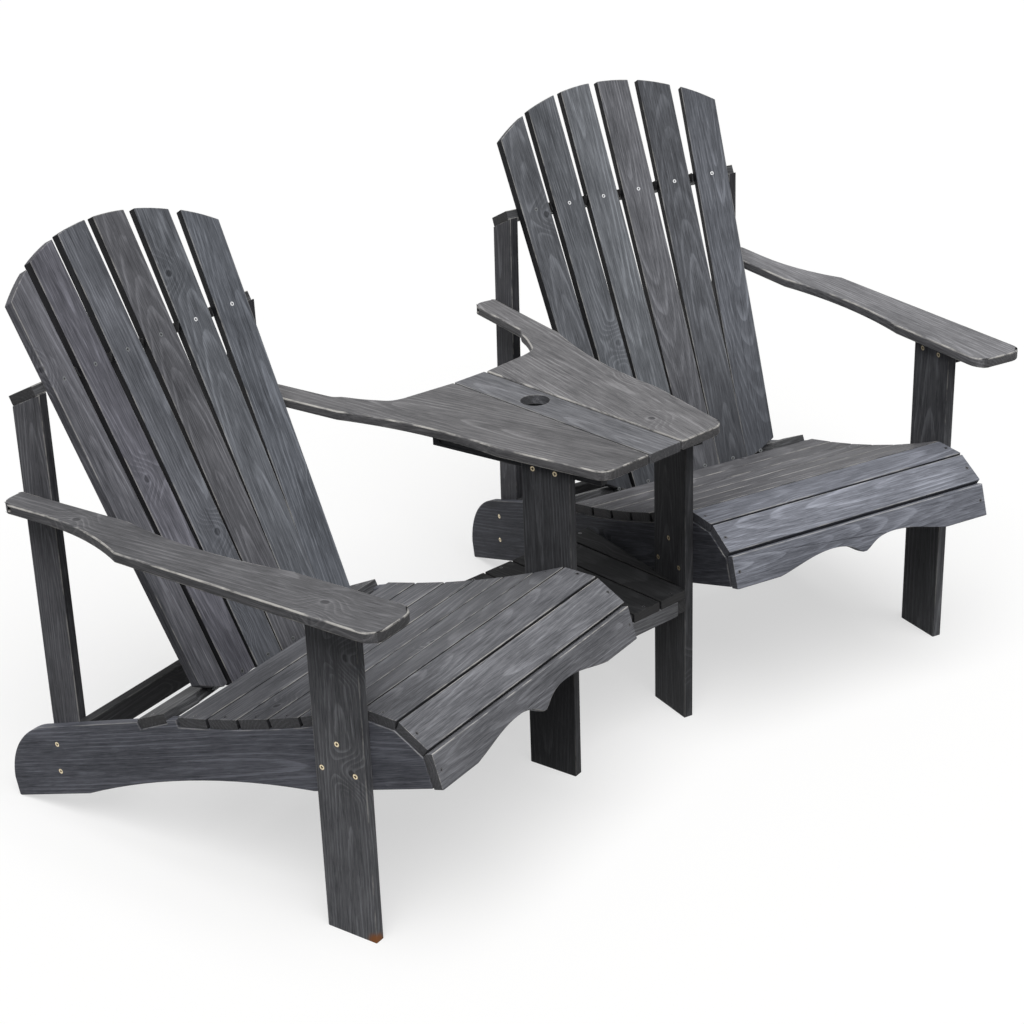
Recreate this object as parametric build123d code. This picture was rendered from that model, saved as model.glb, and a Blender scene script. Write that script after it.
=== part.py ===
from build123d import *
import os
from math import asin, atan, cos, degrees, hypot, radians, sin, sqrt, tan

os.makedirs("parts", exist_ok=True)

# A pair of slatted wooden garden armchairs joined by a wedge-shaped table with a shelf below it.
# One chair is drawn in its own frame: X to the right, Y to the rear from the front of its legs,
# Z up from the ground. It is the left chair, its inner side is +X, and the right one mirrors it.

# Arrangement of the set
chair_turn = 13.0
chair_reach = 137.5

# Boards
board = 17.0
seat_half = 270.0
rail_splay = 0.88

# Side rails: a board that slopes down to the rear, with an arched underside
rail_slope = 19.06
rail_width = 132.0
rail_front_y = -108.5
rail_front_z = 300.0
arch_start_y = 114.0
arch_end_y = 604.0
arch_rise = 22.7
rail_step = 4.7
rail_top_drop = 4.0
rail_heel = 4.0
rail_back_y = 784.0
rail_back_z = 34.0
rail_round_y = 763.5
rail_round_z = 105.0
rail_round_top_y = 700.0

# Legs and posts
leg_width = 93.0
arm_top = 583.0
post_front_y = 624.5
post_width = 63.0
post_bottom = 58.0
post_draw = 6.5

# Seat: the top surface runs over these points, rear to front
seat_rear_y = 387.0
seat_crest_y = 13.0
seat_crest_z = 395.5
seat_hollow = 10.0
narrow_slats = 6
slat_gap = 4.5
slat_inset = 2.0
front_slat_pitch = 63.0
level_slat_drop = 2.0
nosing_slope = 31.5

# Apron under the nosing
apron_top_y = -108.6
apron_top_z = 356.5
apron_lean = 16.9
apron_depth = 57.0
scallop_start = 178.0
scallop_depth = 21.0
scallop_span_shares = (0.05, 0.11, 0.24, 0.38, 0.63, 0.84)
scallop_rise_shares = (0.24, 0.56, 0.93, 1.0, 0.72, 0.28)
point_half = 4.0

# Back: six fanned slats between a lower rail and an upper crosspiece
foot_y = 402.0
foot_z = 264.0
screw_line_y = 643.4
screw_line_z = 762.3
back_radius = 965.0
back_yaw_share = 0.94
foot_pitch = 65.4
upper_pitch = 79.5
back_width = 66.2
foot_width = 63.0
taper_height = 210.0
crown_radius = 401.0
crown_height = 769.0
lower_rail_width = 68.0
lower_rail_back = 60.0
crosspiece_drop = 3.0
crosspiece_inset = 13.5
crosspiece_width = 62.5

# Stretcher between the rear posts
stretcher_height = 45.0
stretcher_top = 185.0

# Arms: the front is straight, then each side is one arc that runs out at the narrow tail
arm_front_y = -92.0
arm_rear_overhang = 4.0
arm_inner_inset = 10.5
arm_front_reach = 88.5
arm_flare_reach = 79.0
arm_bulge = 15.5
arm_tail_width = 49.5
arm_inner_share = 0.285
arm_waist_share = 0.495
arm_tail_share = 0.705
arm_flare_share = 0.632
arm_outer_tail_share = 0.883
arm_corner = 28.0
arm_tail_corner = 8.0
arm_tail_round = 24.0
arm_screw_back = 45.5
arm_screw_bore = 9.5

# Support battens under the arms
arm_batten_height = 22.0
inner_batten_front_y = -50.0
inner_batten_rear_y = 285.0
outer_batten_inset = 2.0
pocket_screw_y = 270.0
pocket_screw_slope = 50.0

# Table
table_front_y = -13.0
table_rear_y = 456.0
table_rear_skew = 9.0
table_gap = 4.0
centre_half = 35.0
centre_shift = 1.5
parasol_hole = 50.0
parasol_y = 291.0
parasol_clearance = 6.0
swing_start_x = 130.0
swing_across_shares = (0.215, 0.376, 0.505, 0.624, 0.742, 0.871)
swing_along_shares = (0.036, 0.095, 0.234, 0.396, 0.586, 0.811)
swing_join_share = 0.78
cross_batten_half = 92.0
cross_batten_width = 30.0
cross_batten_height = 19.0
cross_batten_front_y = 22.0
cross_batten_screw_share = 0.6

# Shelf
shelf_top = 255.0
shelf_front_y = 63.0
shelf_depth = 302.0
shelf_board_pitch = 66.0
shelf_board_gap = 4.0
shelf_batten_height = 27.0
ledger_length = 262.0

# Screws: head diameter, head height, shank diameter and length
brass_head = 9.0
steel_head = 7.5
dark_head = 6.5
head_height = 2.6
shank = 3.6
recess_width = 1.0
recess_depth = 1.2
recess_share = 0.62
long_screw = 30.0
edge_screw = 38.0
short_screw = 27.0
screw_play = 0.12
joint_play = 0.2

# Places of the screws: along a board's width and up the side rail, as shares of each
edge_place_share = 0.65
post_screw_shares = ((0.675, 0.73), (0.675, 0.357))
leg_screw_shares = ((0.532, 0.634), (0.871, 0.362), (0.204, 0.233))
arm_batten_screw_shares = (0.301, 0.763)
ledger_screw_shares = (0.25, 0.75)
pocket_screw_share = 0.6

edge_place = edge_place_share * board
rail_inner = seat_half - board
slope_ratio = tan(radians(rail_slope))
rail_rise = rail_width / cos(radians(rail_slope))
leg_outer = seat_half + board
arm_under = arm_top - board
arm_rear_y = post_front_y + post_width + arm_rear_overhang
arm_screw_y = post_front_y + arm_screw_back
cross_batten_rear_y = parasol_y + parasol_hole / 2 + parasol_clearance
chair_offset = seat_half + chair_reach


def rail_bottom(y):
    return rail_front_z - slope_ratio * (y - rail_front_y)


def rail_top(y):
    return rail_bottom(y) + rail_rise


def face_x(y, inset):
    """How far out a face of the splayed side boards stands, a distance in from the rail's outer face."""
    return seat_half - inset / cos(radians(rail_splay)) + tan(radians(rail_splay)) * y


splay = {side: Pos(side * seat_half, 0, 0) * Rot(0, 0, -side * rail_splay) * Pos(-side * seat_half, 0, 0)
         for side in (1, -1)}


def block(x_span, y_span, z_span):
    """A plain rectangular board between three pairs of limits."""
    size = [high - low for low, high in (x_span, y_span, z_span)]
    middle = [(low + high) / 2 for low, high in (x_span, y_span, z_span)]
    return Pos(*middle) * Box(*size)


def flip(shape):
    return mirror(shape, about=Plane.YZ)


# Seat curve: six equal chords over a hollow arc, one level slat and one sloping nosing
crest = (seat_crest_y, seat_crest_z)
rear = (seat_rear_y, rail_top(seat_rear_y))
chord = hypot(rear[0] - crest[0], rear[1] - crest[1])
hollow_radius = chord ** 2 / (8 * seat_hollow) + seat_hollow / 2
chord_unit = ((crest[0] - rear[0]) / chord, (crest[1] - rear[1]) / chord)
chord_normal = (chord_unit[1], -chord_unit[0])
if chord_normal[1] > 0:
    chord_normal = (-chord_normal[0], -chord_normal[1])
half_sweep = asin(chord / 2 / hollow_radius)
seat_line = []
for i in range(narrow_slats + 1):
    turn = half_sweep * (2 * i / narrow_slats - 1)
    along = chord / 2 + hollow_radius * sin(turn)
    sag = hollow_radius * (cos(turn) - cos(half_sweep))
    seat_line.append((rear[0] + chord_unit[0] * along + chord_normal[0] * sag,
                      rear[1] + chord_unit[1] * along + chord_normal[1] * sag))
level_y = crest[0] - sqrt(front_slat_pitch ** 2 - level_slat_drop ** 2)
seat_line.append((level_y, crest[1] - level_slat_drop))
nose_y = level_y - front_slat_pitch * cos(radians(nosing_slope))
seat_line.append((nose_y, seat_line[-1][1] - front_slat_pitch * sin(radians(nosing_slope))))


def up_normal(start, end):
    """Unit normal of the seat facet between two points, pointing up."""
    length = hypot(end[0] - start[0], end[1] - start[1])
    return ((end[1] - start[1]) / length, (start[0] - end[0]) / length)


facets = []
for start, end in zip(seat_line[:-1], seat_line[1:]):
    facets.append((start, end, up_normal(start, end)))


def below(facet, distance):
    """The facet's two ends, moved down into the rail by a distance."""
    start, end, normal = facet
    return [(p[0] - normal[0] * distance, p[1] - normal[1] * distance) for p in (start, end)]


def crossing(line_a, line_b):
    """Where two lines, each given by two points, meet."""
    (x1, y1), (x2, y2) = line_a
    (x3, y3), (x4, y4) = line_b
    scale = (x1 - x2) * (y3 - y4) - (y1 - y2) * (x3 - x4)
    first = x1 * y2 - y1 * x2
    second = x3 * y4 - y3 * x4
    return ((first * (x3 - x4) - (x1 - x2) * second) / scale,
            (first * (y3 - y4) - (y1 - y2) * second) / scale)


lean = radians(apron_lean)
apron_back_top = (apron_top_y + board * cos(lean), apron_top_z - board * sin(lean))
apron_back_low = (apron_back_top[0] - apron_depth * sin(lean), apron_back_top[1] - apron_depth * cos(lean))
apron_back = (apron_back_top, apron_back_low)

rest_lines = [below(facet, board) for facet in facets]
rest = [rest_lines[0][0]]
for first, second in zip(rest_lines[:-1], rest_lines[1:]):
    rest.append(crossing(first, second))
rest.append(crossing(rest_lines[-1], apron_back))

bottom_line = ((rail_front_y, rail_front_z), (arch_end_y, rail_bottom(arch_end_y)))
toe = crossing(bottom_line, apron_back)
heel_y = rail_front_y + (rail_front_z + rail_step) / slope_ratio
arch_start = (arch_start_y, rail_bottom(arch_start_y))
arch_end = (arch_end_y, rail_bottom(arch_end_y) + rail_step)
arch_middle_y = (arch_start_y + arch_end_y) / 2
arch_middle_z = rail_bottom(arch_middle_y) + arch_rise / cos(radians(rail_slope))
round_top = (rail_round_top_y, rail_top(rail_round_top_y) - rail_top_drop)
rail_rear_top = (rear[0], rear[1] - rail_top_drop)

rail_edges = [
    Line(toe, arch_start),
    ThreePointArc(arch_start, (arch_middle_y, arch_middle_z), arch_end),
    Line(arch_end, (heel_y, 0)),
    Line((heel_y, 0), (heel_y + rail_heel, 0)),
    Line((heel_y + rail_heel, 0), (rail_back_y, rail_back_z)),
    ThreePointArc((rail_back_y, rail_back_z), (rail_round_y, rail_round_z), round_top),
    Line(round_top, rail_rear_top),
    Line(rail_rear_top, rest[0]),
]
for start, end in zip(rest[:-1], rest[1:]):
    rail_edges.append(Line(start, end))
rail_edges.append(Line(rest[-1], toe))
rail_blank = extrude(Plane.YZ * make_face(rail_edges), amount=2 * seat_half)
rail_slab = block((rail_inner, seat_half), (-2 * seat_half, 4 * seat_half), (-board, 2 * seat_half))
rail = rail_blank & splay[1] * rail_slab

# Back frame: every slat's face runs from the lower rail to the crosspiece
back_run = screw_line_y - foot_y
back_rise = screw_line_z - foot_z
back_length = hypot(back_run, back_rise)
back_up = Vector(0, back_run / back_length, back_rise / back_length)
back_rearward = Vector(0, back_up.Z, -back_up.Y)


def slat_plane(number):
    """The front face of a back slat on the inner side, its origin at the foot."""
    u_foot = foot_pitch * (number + 0.5)
    u_upper = upper_pitch * (number + 0.5)
    set_forward = back_radius - sqrt(back_radius ** 2 - u_upper ** 2)
    yaw = asin(u_upper / back_radius) * back_yaw_share
    foot = Vector(u_foot, foot_y, foot_z)
    upper = Vector(u_upper, screw_line_y - set_forward, screw_line_z)
    across = Vector(cos(yaw), -sin(yaw), 0)
    facing = across.cross(upper - foot).normalized()
    plane = Plane(origin=foot, x_dir=across, z_dir=facing)
    return plane, plane.to_local_coords(upper)


def back_slat(number):
    """One tapered back slat, its crown cut to the common arc."""
    plane, upper = slat_plane(number)
    lean_over = upper.X / upper.Y
    tall = crown_height + back_width
    low = -board / 2
    outline = [
        (lean_over * low - foot_width / 2, low),
        (lean_over * low + foot_width / 2, low),
        (lean_over * taper_height + back_width / 2, taper_height),
        (lean_over * tall + back_width / 2, tall),
        (lean_over * tall - back_width / 2, tall),
        (lean_over * taper_height - back_width / 2, taper_height),
    ]
    slat = extrude(plane * make_face(Polyline(*outline, close=True)), amount=-board)
    crown_middle = Vector(0, foot_y, foot_z) + back_up * (crown_height - crown_radius)
    crown = Plane(origin=crown_middle, x_dir=(1, 0, 0), z_dir=back_rearward)
    return slat & crown * Cylinder(crown_radius, 2 * crown_radius)


def slat_room(number, level, half):
    """The space that a slat needs where a cross member is cut back to meet it."""
    plane, upper = slat_plane(number)
    middle = upper.X / upper.Y * level
    tool = Box(2 * half, lower_rail_width, 2 * lower_rail_width)
    return plane * Pos(middle, level, lower_rail_width - board) * tool


def cross_member(level, back_depth, half, width):
    """A flat board square to the back, with its rear edge behind the slats."""
    middle = Vector(0, foot_y, foot_z) + back_up * level + back_rearward * (board + back_depth - width / 2)
    plane = Plane(origin=middle, x_dir=(1, 0, 0), z_dir=back_up)
    return plane * Box(2 * half, width, board)


lower_rail_half = face_x(foot_y + lower_rail_back / 2, slat_inset)
lower_rail = cross_member(0, lower_rail_back, lower_rail_half, lower_rail_width)
upper_level = back_length - crosspiece_drop
post_rear_level = (upper_level - board / 2) * back_up.Y
upper_back = (post_front_y + post_width - foot_y - post_rear_level) / back_rearward.Y - board
crosspiece = cross_member(upper_level, upper_back, seat_half - crosspiece_inset, crosspiece_width)
slats_per_half = 3
for i in range(slats_per_half):
    edge = joint_play if i == slats_per_half - 1 else 0
    low_room = slat_room(i, 0, foot_pitch / 2 + edge)
    high_room = slat_room(i, upper_level, upper_pitch / 2 + edge)
    lower_rail = lower_rail - [low_room, flip(low_room)]
    crosspiece = crosspiece - [high_room, flip(high_room)]

# The rail is notched for the lower back rail
notch = cross_member(0, lower_rail_back, 2 * seat_half, 2 * lower_rail_width)
notch_front = Vector(0, foot_y, foot_z) + back_rearward * (board + lower_rail_back - lower_rail_width)
notch_plane = Plane(origin=notch_front, x_dir=(1, 0, 0), z_dir=back_rearward)
notch = notch & notch_plane * Pos(0, 0, lower_rail_width) * Box(
    4 * seat_half, 4 * lower_rail_width, 2 * lower_rail_width)
rail = rail - notch

# Rear post: flat on the rail, drawn in above it, its top cut to the crosspiece's slope
post_bend_z = rail_top(post_front_y)
post_slope = post_draw / (screw_line_z - post_bend_z)
post_blank_z = arm_top + rail_width * 2


def post_face_x(z):
    """Where the outer face of the post stands before the splay."""
    return rail_inner - post_slope * max(z - post_bend_z, 0)


post_outline = [(post_face_x(z), z) for z in (post_bottom, post_bend_z, post_blank_z)]
post_outline += [(x - board, z) for x, z in reversed(post_outline)]
post = extrude(Plane.XZ * make_face(Polyline(*post_outline, close=True)), amount=-post_width)
post = splay[1] * Pos(0, post_front_y, 0) * post
seat_of_cross = Vector(0, foot_y, foot_z) + back_up * (upper_level - board / 2)
keep = Plane(origin=seat_of_cross, x_dir=(1, 0, 0), z_dir=back_up) * Pos(0, 0, -seat_half * 2) * Box(
    seat_half * 4, seat_half * 4, seat_half * 4)
post = post & keep

leg = splay[1] * block((seat_half, leg_outer), (0, leg_width), (0, arm_under))
stretcher_half = face_x(post_front_y - board, board + joint_play)
stretcher = block((-stretcher_half, stretcher_half), (post_front_y - board, post_front_y),
                  (stretcher_top - stretcher_height, stretcher_top))
batten_spans = {"inner": (inner_batten_front_y, inner_batten_rear_y),
                "outer": (outer_batten_inset, leg_width - outer_batten_inset)}
arm_battens = {}
for tag, span in batten_spans.items():
    arm_battens[tag] = splay[1] * block((leg_outer, leg_outer + board), span,
                                        (arm_under - arm_batten_height, arm_under))

# Apron with two hollows that meet in a central point
apron_plane = Plane(origin=(0, apron_top_y, apron_top_z), x_dir=(1, 0, 0), z_dir=(0, -cos(lean), sin(lean)))
apron_half = face_x(apron_top_y, slat_inset)
hollow_points = [(point_half, -apron_depth)]
for span, rise in zip(scallop_span_shares, scallop_rise_shares):
    hollow_points.append((point_half + span * (scallop_start - point_half),
                          -apron_depth + rise * scallop_depth))
hollow_points.append((scallop_start, -apron_depth))
left_points = [(-x, y) for x, y in reversed(hollow_points)]
apron_edges = [
    Line((-apron_half, 0), (apron_half, 0)),
    Line((apron_half, 0), (apron_half, -apron_depth)),
    Line((apron_half, -apron_depth), hollow_points[-1]),
    Spline(*hollow_points),
    Line(hollow_points[0], left_points[-1]),
    Spline(*left_points),
    Line(left_points[0], (-apron_half, -apron_depth)),
    Line((-apron_half, -apron_depth), (-apron_half, 0)),
]
apron = extrude(apron_plane * make_face(apron_edges), amount=-board)


def facet_plane(facet):
    """The plane of a seat facet, its origin in the middle and Y towards the front."""
    start, end, normal = facet
    middle = (0, (start[0] + end[0]) / 2, (start[1] + end[1]) / 2)
    return Plane(origin=middle, x_dir=(-1, 0, 0), z_dir=(0, normal[0], normal[1]))


def seat_slat(number):
    """A straight slat on one facet of the rails, its edges bevelled where the seat folds over."""
    start, end, normal = facets[number]
    half = (hypot(end[0] - start[0], end[1] - start[1]) - slat_gap) / 2
    bevels = []
    for other in (number - 1, number + 1):
        fold = 0
        if 0 <= other < len(facets):
            beside = facets[other][2]
            fold = atan(normal[0] / normal[1]) - atan(beside[0] / beside[1])
        bevels.append(max(board * tan(abs(fold) / 2) - slat_gap / 2, 0) if fold else 0)
    if number < narrow_slats - 1:
        bevels = [0, 0]
    outline = Polyline((-half, 0), (half, 0), (half - bevels[1], -board), (-half + bevels[0], -board),
                       close=True)
    across = facet_plane(facets[number])
    profile = Plane(origin=across.origin, x_dir=across.y_dir, z_dir=across.x_dir)
    half_length = face_x((start[0] + end[0]) / 2, slat_inset)
    return extrude(profile * make_face(outline), amount=half_length, both=True)


slats = [seat_slat(number) for number in range(len(facets))]
nosing_reach = hypot(facets[-1][1][0] - facets[-1][0][0], facets[-1][1][1] - facets[-1][0][1])
nosing_room = Box(2 * seat_half, nosing_reach - slat_gap + 2 * joint_play, 2 * board + joint_play)
apron = apron - facet_plane(facets[-1]) * nosing_room


def arm_bearing(y):
    """The line on which the arms bear, the outer face of the rear post."""
    return face_x(y, seat_half - post_face_x(arm_under))


def arm_station(share):
    """A place along the arm, as a share of its length from the front."""
    return arm_front_y + share * (arm_rear_y - arm_front_y)


# Arm outlines. The side next to the seat is the same on every arm.
inner_turn = (seat_half - arm_inner_inset, arm_station(arm_inner_share))
tail_start = (arm_bearing(arm_station(arm_tail_share)), arm_station(arm_tail_share))
waist = ((inner_turn[0] + tail_start[0]) / 2 + arm_bulge, arm_station(arm_waist_share))
tail_inner = (arm_bearing(arm_rear_y), arm_rear_y)
tail_outer = (arm_bearing(arm_rear_y) + arm_tail_width, arm_rear_y)
outer_join_y = arm_station(arm_outer_tail_share)
outer_join = (arm_bearing(outer_join_y) + arm_tail_width, outer_join_y)
flare = (seat_half + arm_flare_reach, arm_station(arm_flare_share))
front_inner = (inner_turn[0], arm_front_y)
front_outer = (seat_half + arm_front_reach, arm_front_y)
outer_arm_edges = [
    Line(tail_inner, tail_start),
    ThreePointArc(tail_start, waist, inner_turn),
    Line(inner_turn, front_inner),
    Line(front_inner, front_outer),
    Line(front_outer, flare),
    TangentArc(outer_join, flare, tangent=(outer_join[0] - tail_outer[0], outer_join[1] - tail_outer[1])),
    Line(outer_join, tail_outer),
    Line(tail_outer, tail_inner),
]


def near(points, x, y):
    """The corner that lies nearest to a point, to be rounded."""
    return sorted(points, key=lambda p: hypot(p.X - x, p.Y - y))[0]


arm_face = make_face(outer_arm_edges)
arm_face = fillet([near(arm_face.vertices(), *spot) for spot in (front_inner, front_outer)], arm_corner)
arm_face = fillet([near(arm_face.vertices(), *tail_outer)], arm_tail_round)
arm_face = fillet([near(arm_face.vertices(), *tail_inner)], arm_tail_corner)
outer_arm = flip(Pos(0, 0, arm_under) * extrude(arm_face, amount=board))

turn = radians(chair_turn)


def to_set(x, y):
    """Chair point to the set's frame, left chair."""
    return (-chair_offset + x * cos(turn) - y * sin(turn), x * sin(turn) + y * cos(turn))


# The inner arm widens into a table board, drawn in the set's own frame
table_inner_x = -centre_half - table_gap
swing_start = (-swing_start_x, table_rear_y + table_rear_skew)
swing_join_y = arm_station(swing_join_share)
swing_end = to_set(arm_bearing(swing_join_y) + arm_tail_width, swing_join_y)
swing = [swing_start]
for across, along in zip(swing_across_shares, swing_along_shares):
    swing.append((swing_start[0] + across * (swing_end[0] - swing_start[0]),
                  swing_start[1] + along * (swing_end[1] - swing_start[1])))
swing.append(swing_end)
table_turn = to_set(*inner_turn)
table_corner = crossing((table_turn, to_set(inner_turn[0], 0)), ((0, table_front_y), (-1, table_front_y)))
table_tail_outer = to_set(*tail_outer)
table_tail_inner = to_set(*tail_inner)
table_edges = [
    Line(table_tail_inner, to_set(*tail_start)),
    ThreePointArc(to_set(*tail_start), to_set(*waist), table_turn),
    Line(table_turn, table_corner),
    Line(table_corner, (table_inner_x, table_front_y)),
    Line((table_inner_x, table_front_y), (table_inner_x, table_rear_y)),
    Line((table_inner_x, table_rear_y), swing_start),
    Spline(*swing, tangents=((-swing_start_x, table_rear_skew), (-sin(turn), cos(turn)))),
    Line(swing_end, table_tail_outer),
    Line(table_tail_outer, table_tail_inner),
]
table_face = make_face(table_edges)
table_face = fillet([near(table_face.vertices(), *table_corner)], arm_corner)
table_face = fillet([near(table_face.vertices(), *table_tail_outer)], arm_tail_round)
table_face = fillet([near(table_face.vertices(), *table_tail_inner)], arm_tail_corner)
table_board = Pos(0, 0, arm_under) * extrude(table_face, amount=board)

centre_board = block((-centre_half - centre_shift, centre_half - centre_shift),
                     (table_front_y, table_rear_y), (arm_under, arm_top))
centre_board = centre_board - Pos(0, parasol_y, arm_under) * Cylinder(parasol_hole / 2, arm_top)

cross_battens = {}
for name, start in (("table_cross_batten_front", cross_batten_front_y),
                    ("table_cross_batten_rear", cross_batten_rear_y)):
    cross_battens[name] = block((-cross_batten_half, cross_batten_half), (start, start + cross_batten_width),
                                (arm_under - cross_batten_height, arm_under))

# Shelf: boards run front to rear on two cross battens, between two ledgers beside the legs
shelf_under = shelf_top - board
shelf_rear_y = shelf_front_y + shelf_depth
batten_low = shelf_under - shelf_batten_height


def splayed_line(inset):
    """Two points of a face of the inner side boards, in the set's frame."""
    return (to_set(face_x(0, inset), 0), to_set(face_x(shelf_depth, inset), shelf_depth))


shelf_side = splayed_line(-board - joint_play)
shelf_outline = [
    crossing(shelf_side, ((0, shelf_front_y), (-1, shelf_front_y))),
    crossing(shelf_side, ((0, shelf_rear_y), (-1, shelf_rear_y))),
]
shelf_shape = make_face(Polyline(shelf_outline[0], shelf_outline[1], (0, shelf_rear_y), (0, shelf_front_y),
                                 close=True))
shelf_half = Pos(0, 0, shelf_under) * extrude(shelf_shape, amount=board)
shelf_boards = []
for i in range(slats_per_half):
    lane = (-shelf_board_pitch * (i + 1) + shelf_board_gap / 2, -shelf_board_pitch * i - shelf_board_gap / 2)
    strip = shelf_half & block(lane, (shelf_front_y, shelf_rear_y), (shelf_under, shelf_top))
    shelf_boards.append(strip)

ledger_z = (batten_low, shelf_under)
ledger_local = splay[1] * block((leg_outer, leg_outer + board), (0, ledger_length), ledger_z)
ledger_side = splayed_line(-2 * board - joint_play)
batten_front_half = -crossing(ledger_side, ((0, shelf_front_y), (-1, shelf_front_y)))[0]
front_shelf_batten = block((-batten_front_half, batten_front_half), (shelf_front_y, shelf_front_y + board),
                           (batten_low, shelf_under))
rail_side = splayed_line(-joint_play)
rear_face_y = shelf_rear_y - board
corner_front = crossing(rail_side, ((0, rear_face_y), (-1, rear_face_y)))
corner_rear = crossing(rail_side, ((0, shelf_rear_y), (-1, shelf_rear_y)))
rear_outline = Polyline(corner_front, corner_rear, (-corner_rear[0], corner_rear[1]),
                        (-corner_front[0], corner_front[1]), close=True)
rear_shelf_batten = Pos(0, 0, batten_low) * extrude(make_face(rear_outline), amount=shelf_batten_height)


def screw(head, length, play):
    """A countersunk screw along -Z with its head's face at the origin."""
    body = Pos(0, 0, -length / 2 - head_height / 2) * Cylinder(shank / 2 + play, length - head_height + play)
    cone = Pos(0, 0, -head_height / 2) * Cone(shank / 2 + play, head / 2 + play, head_height)
    return body + cone


def fastener(head, length):
    """The screw itself, with a cross recess in its head."""
    bar = Box(head * recess_share, recess_width, 2 * recess_depth)
    return screw(head, length, 0) - [bar, Rot(0, 0, 90) * bar]


pieces = {
    "rail_outer": flip(rail), "rail_inner": rail,
    "front_leg_outer": flip(leg), "front_leg_inner": leg,
    "rear_post_outer": flip(post), "rear_post_inner": post,
    "back_crosspiece": crosspiece, "lower_back_rail": lower_rail,
    "rear_stretcher": stretcher, "front_apron": apron,
    "seat_slat_level": slats[-2], "seat_slat_nosing": slats[-1],
    "outer_arm": outer_arm,
    "arm_batten_outer": flip(arm_battens["outer"]), "arm_batten_inner": arm_battens["inner"],
}
for i in range(slats_per_half):
    pieces["back_slat_%d" % (slats_per_half + 1 + i)] = back_slat(i)
    pieces["back_slat_%d" % (slats_per_half - i)] = flip(back_slat(i))
for i in range(narrow_slats):
    pieces["narrow_%d" % i] = slats[i]

drills = {}
screws = {"brass": [], "steel": [], "dark": []}
heads = {"brass": brass_head, "steel": steel_head, "dark": dark_head}
patterns = {}


def fix(kind, length, spot, inward, names, frame=Pos(0, 0, 0)):
    """Put one screw in at a spot, pointing inward, and cut its hole in the named pieces."""
    key = (kind, length)
    if key not in patterns:
        patterns[key] = (fastener(heads[kind], length), screw(heads[kind], length, screw_play))
    seat = frame * Plane(origin=spot, z_dir=-Vector(*inward)).location
    screws[kind].append(seat * patterns[key][0])
    for name in names:
        drills.setdefault(name, []).append(seat * patterns[key][1])


for side, tag in ((-1, "outer"), (1, "inner")):
    for across, up in post_screw_shares:
        y = post_front_y + across * post_width
        fix("brass", long_screw, (side * seat_half, y, rail_bottom(y) + up * rail_rise), (-side, 0, 0),
            ["rail_" + tag, "rear_post_" + tag], frame=splay[side])
    for across, up in leg_screw_shares:
        y = across * leg_width
        fix("brass", long_screw, (side * leg_outer, y, rail_bottom(y) + up * rail_rise), (-side, 0, 0),
            ["front_leg_" + tag, "rail_" + tag], frame=splay[side])
    for across in arm_batten_screw_shares:
        fix("brass", long_screw, (side * seat_half, across * leg_width, arm_under - arm_batten_height / 2),
            (side, 0, 0), ["front_leg_" + tag, "arm_batten_" + tag], frame=splay[side])
    for i, (start, end, normal) in enumerate(facets):
        name = "narrow_%d" % i
        if i >= narrow_slats:
            name = ("seat_slat_level", "seat_slat_nosing")[i - narrow_slats]
        middle_y = (start[0] + end[0]) / 2
        spot = (side * face_x(middle_y, edge_place), middle_y, (start[1] + end[1]) / 2)
        fix("dark", edge_screw, spot, (0, -normal[0], -normal[1]), [name, "rail_" + tag])
    spot = (apron_plane * Pos(side * face_x(apron_top_y, edge_place), -apron_depth / 2, 0)).position
    fix("dark", edge_screw, tuple(spot), (0, cos(lean), -sin(lean)), ["front_apron", "rail_" + tag])
    on_lower = Vector(side * face_x(foot_y, edge_place), foot_y, foot_z) + back_up * (board / 2)
    on_lower = on_lower + back_rearward * (board + lower_rail_back / 2)
    fix("dark", edge_screw, tuple(on_lower), tuple(-back_up), ["lower_back_rail", "rail_" + tag])
    post_middle_y = post_front_y + post_width / 2
    cross_x = side * face_x(post_middle_y, seat_half - post_face_x(screw_line_z) + board / 2)
    on_cross = Vector(cross_x, foot_y, foot_z) + back_up * (upper_level + board / 2)
    on_cross = on_cross + back_rearward * ((post_middle_y - on_cross.Y) / back_rearward.Y)
    fix("dark", edge_screw, tuple(on_cross), tuple(-back_up), ["back_crosspiece", "rear_post_" + tag])
    stretcher_spot = (side * face_x(post_front_y, board + board / 2), post_front_y - board,
                      stretcher_top - stretcher_height / 2)
    fix("dark", edge_screw, stretcher_spot, (0, 1, 0), ["rear_stretcher", "rear_post_" + tag])
    arm_name = "outer_arm" if side < 0 else "table_board"
    arm_middle_z = arm_top - board / 2
    head_x = post_face_x(arm_middle_z) - board + edge_screw
    fix("dark", edge_screw, (side * head_x, arm_screw_y, arm_middle_z), (-side, 0, 0),
        [arm_name, "rear_post_" + tag], frame=splay[side])
    bore = Pos(side * (head_x + leg_width / 2), arm_screw_y, arm_middle_z) * Rot(0, 90, 0)
    drills[arm_name].append(splay[side] * bore * Cylinder(arm_screw_bore / 2, leg_width))
    first, last = batten_spans[tag]
    batten_screw_y = leg_width / 2 if first > 0 else first / 2
    fix("dark", arm_batten_height + board / 2,
        (side * (leg_outer + board / 2), batten_screw_y, arm_under - arm_batten_height), (0, 0, 1),
        ["arm_batten_" + tag, arm_name], frame=splay[side])
    if last > pocket_screw_y:
        slope = radians(pocket_screw_slope)
        pocket_z = arm_under - pocket_screw_share * arm_batten_height
        fix("dark", short_screw, (side * leg_outer, pocket_screw_y, pocket_z),
            (side * cos(slope), 0, sin(slope)), ["arm_batten_" + tag, arm_name], frame=splay[side])
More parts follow.
